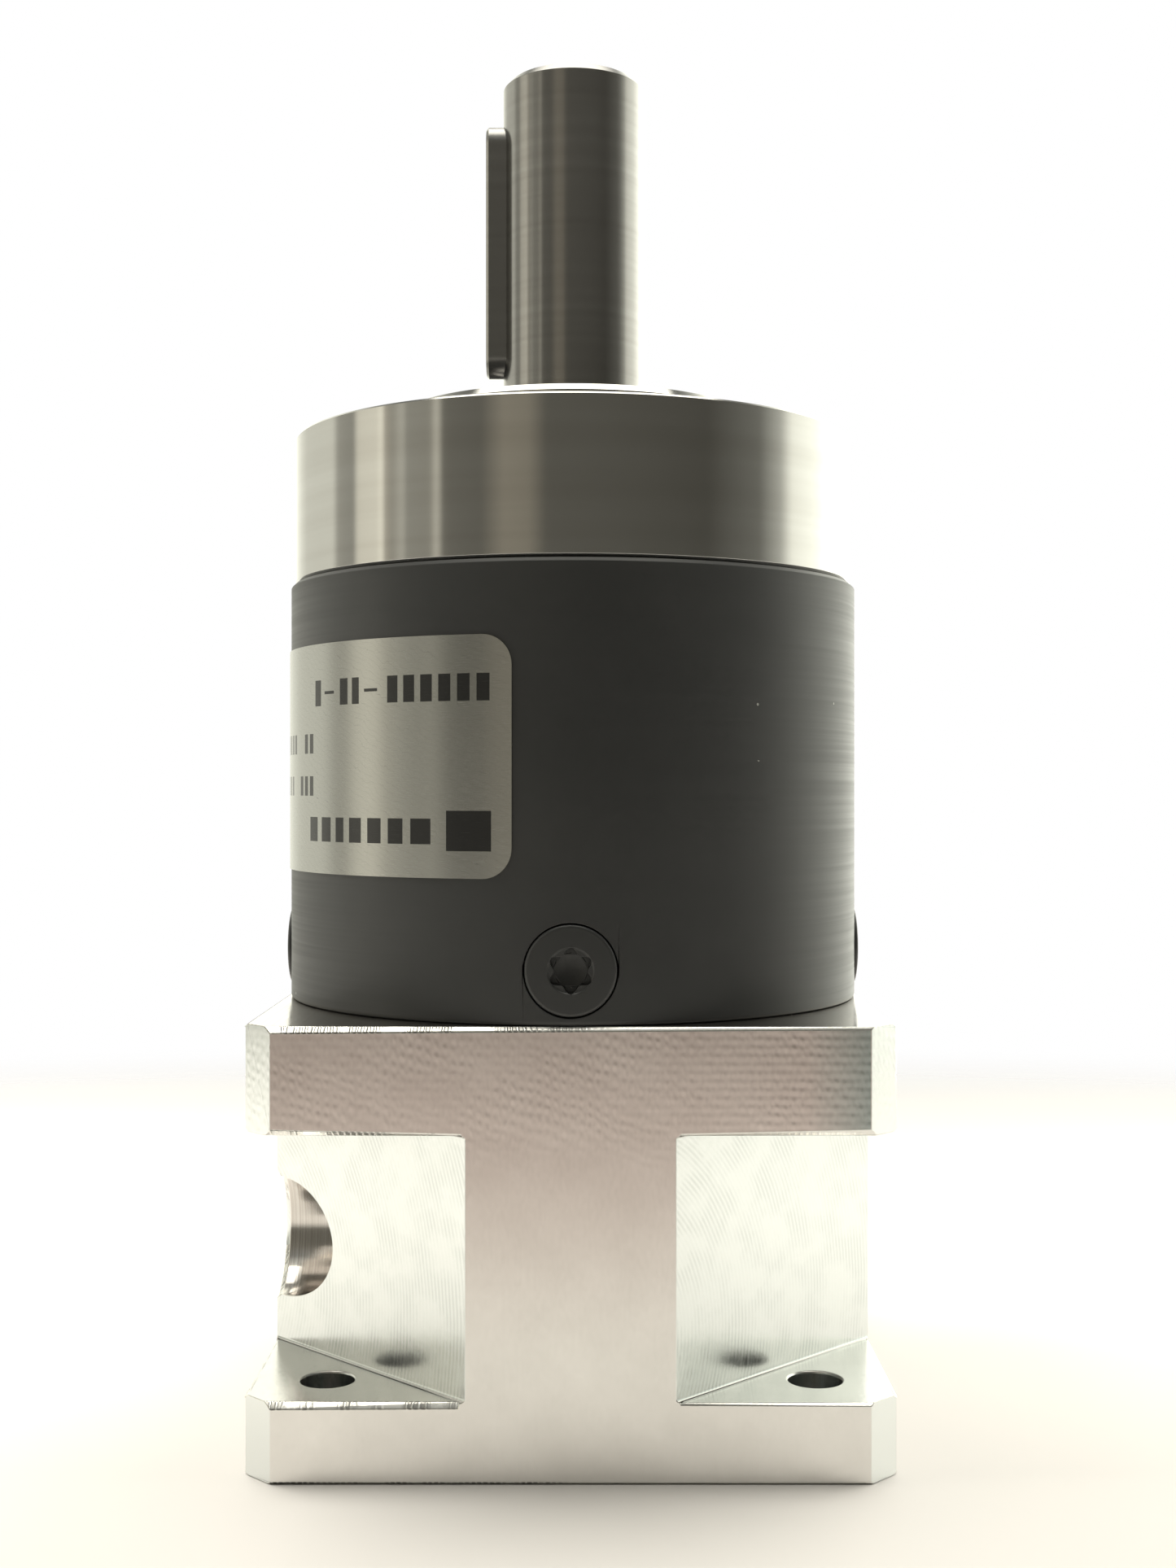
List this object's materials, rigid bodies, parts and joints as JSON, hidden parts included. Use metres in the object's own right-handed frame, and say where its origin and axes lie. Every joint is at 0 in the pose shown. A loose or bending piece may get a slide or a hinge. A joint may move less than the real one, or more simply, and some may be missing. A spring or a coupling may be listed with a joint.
{
  "type": "planetary gearbox",
  "caption": "Inline planetary gearbox: square milled motor adapter, round black ring-gear body, turned output flange and keyed output shaft, with working gears inside.",
  "frame": {"origin": "centre of the motor face, at the bottom of the adapter", "axes": "+Z along both shafts, from the motor side to the output shaft; X and Y square to the adapter's sides; the key and the clamp-screw access hole are on the -X side"},
  "size_m": [0.0402, 0.0402, 0.093],
  "materials": {
    "milled_aluminium": "milled, bright, fine tool marks",
    "black_oxide_steel": "satin black oxide over fine turning lines",
    "turned_steel": "bright turned face, circumferential lines",
    "ground_steel": "ground shaft steel",
    "gear_steel": "hardened gear steel, light oil",
    "bearing_steel": "polished bearing steel",
    "spring_steel": "phosphated spring steel",
    "black_screw_steel": "black oxide screw",
    "silver_foil": "satin silver foil label, blank",
    "nitrile_rubber": "moulded seal rubber"
  },
  "bodies": {
    "housing": {"motor_adapter": "milled_aluminium", "ring_gear_housing": "black_oxide_steel", "output_flange": "turned_steel", "rating_label": "silver_foil", "shaft_seal": "nitrile_rubber", "housing_screw_1": "black_screw_steel", "housing_screw_2": "black_screw_steel", "housing_screw_3": "black_screw_steel", "housing_screw_4": "black_screw_steel", "rear_bearing_outer_race": "bearing_steel", "front_bearing_outer_race": "bearing_steel", "input_bearing_outer_race": "bearing_steel", "bearing_outer_spacer": "gear_steel", "flange_retaining_ring": "spring_steel", "adapter_retaining_ring": "spring_steel"},
    "output": {"planet_carrier_shaft": "ground_steel", "shaft_key": "ground_steel", "rear_bearing_inner_race": "bearing_steel", "front_bearing_inner_race": "bearing_steel", "bearing_inner_spacer": "gear_steel", "output_shaft_retaining_ring": "spring_steel", "planet_pin_1": "bearing_steel", "planet_pin_2": "bearing_steel", "planet_pin_3": "bearing_steel", "planet_lower_washer_1": "bearing_steel", "planet_lower_washer_2": "bearing_steel", "planet_lower_washer_3": "bearing_steel", "planet_upper_washer_1": "bearing_steel", "planet_upper_washer_2": "bearing_steel", "planet_upper_washer_3": "bearing_steel"},
    "input": {"sun_gear_hub": "gear_steel", "clamp_ring": "spring_steel", "clamp_screw": "black_screw_steel", "input_bearing_inner_race": "bearing_steel", "input_hub_retaining_ring": "spring_steel"},
    "planet_1": {"planet_gear_1": "gear_steel", "planet_needle_bearing_1": "bearing_steel"},
    "planet_2": {"planet_gear_2": "gear_steel", "planet_needle_bearing_2": "bearing_steel"},
    "planet_3": {"planet_gear_3": "gear_steel", "planet_needle_bearing_3": "bearing_steel"},
    "rear_cage": {"rear_bearing_ball_cage": "bearing_steel"},
    "front_cage": {"front_bearing_ball_cage": "bearing_steel"},
    "input_cage": {"input_bearing_ball_cage": "bearing_steel"}
  },
  "joints": [
    {"name": "output_spin", "type": "hinge", "parent": "housing", "child": "output", "pos_m": [0, 0, 0.0579], "axis": [0, 0, 1], "continuous": true},
    {"name": "input_spin", "type": "hinge", "parent": "housing", "child": "input", "pos_m": [0, 0, 0.0214], "axis": [0, 0, 1], "continuous": true},
    {"name": "planet_1_spin", "type": "hinge", "parent": "output", "child": "planet_1", "pos_m": [0.00975, 0, 0.0422], "axis": [0, 0, 1], "continuous": true},
    {"name": "planet_2_spin", "type": "hinge", "parent": "output", "child": "planet_2", "pos_m": [-0.00487, 0.00844, 0.0422], "axis": [0, 0, 1], "continuous": true},
    {"name": "planet_3_spin", "type": "hinge", "parent": "output", "child": "planet_3", "pos_m": [-0.00487, -0.00844, 0.0422], "axis": [0, 0, 1], "continuous": true},
    {"name": "rear_cage_spin", "type": "hinge", "parent": "housing", "child": "rear_cage", "pos_m": [0, 0, 0.0544], "axis": [0, 0, 1], "continuous": true},
    {"name": "front_cage_spin", "type": "hinge", "parent": "housing", "child": "front_cage", "pos_m": [0, 0, 0.0614], "axis": [0, 0, 1], "continuous": true},
    {"name": "input_cage_spin", "type": "hinge", "parent": "housing", "child": "input_cage", "pos_m": [0, 0, 0.0214], "axis": [0, 0, 1], "continuous": true}
  ],
  "couplings": [
    {"joint": "input_spin", "follows": "output_spin", "ratio": 5},
    {"joint": "planet_1_spin", "follows": "output_spin", "ratio": -2.6667},
    {"joint": "planet_2_spin", "follows": "output_spin", "ratio": -2.6667},
    {"joint": "planet_3_spin", "follows": "output_spin", "ratio": -2.6667},
    {"joint": "rear_cage_spin", "follows": "output_spin", "ratio": 0.41667},
    {"joint": "front_cage_spin", "follows": "output_spin", "ratio": 0.41667},
    {"joint": "input_cage_spin", "follows": "output_spin", "ratio": 2.0833}
  ]
}
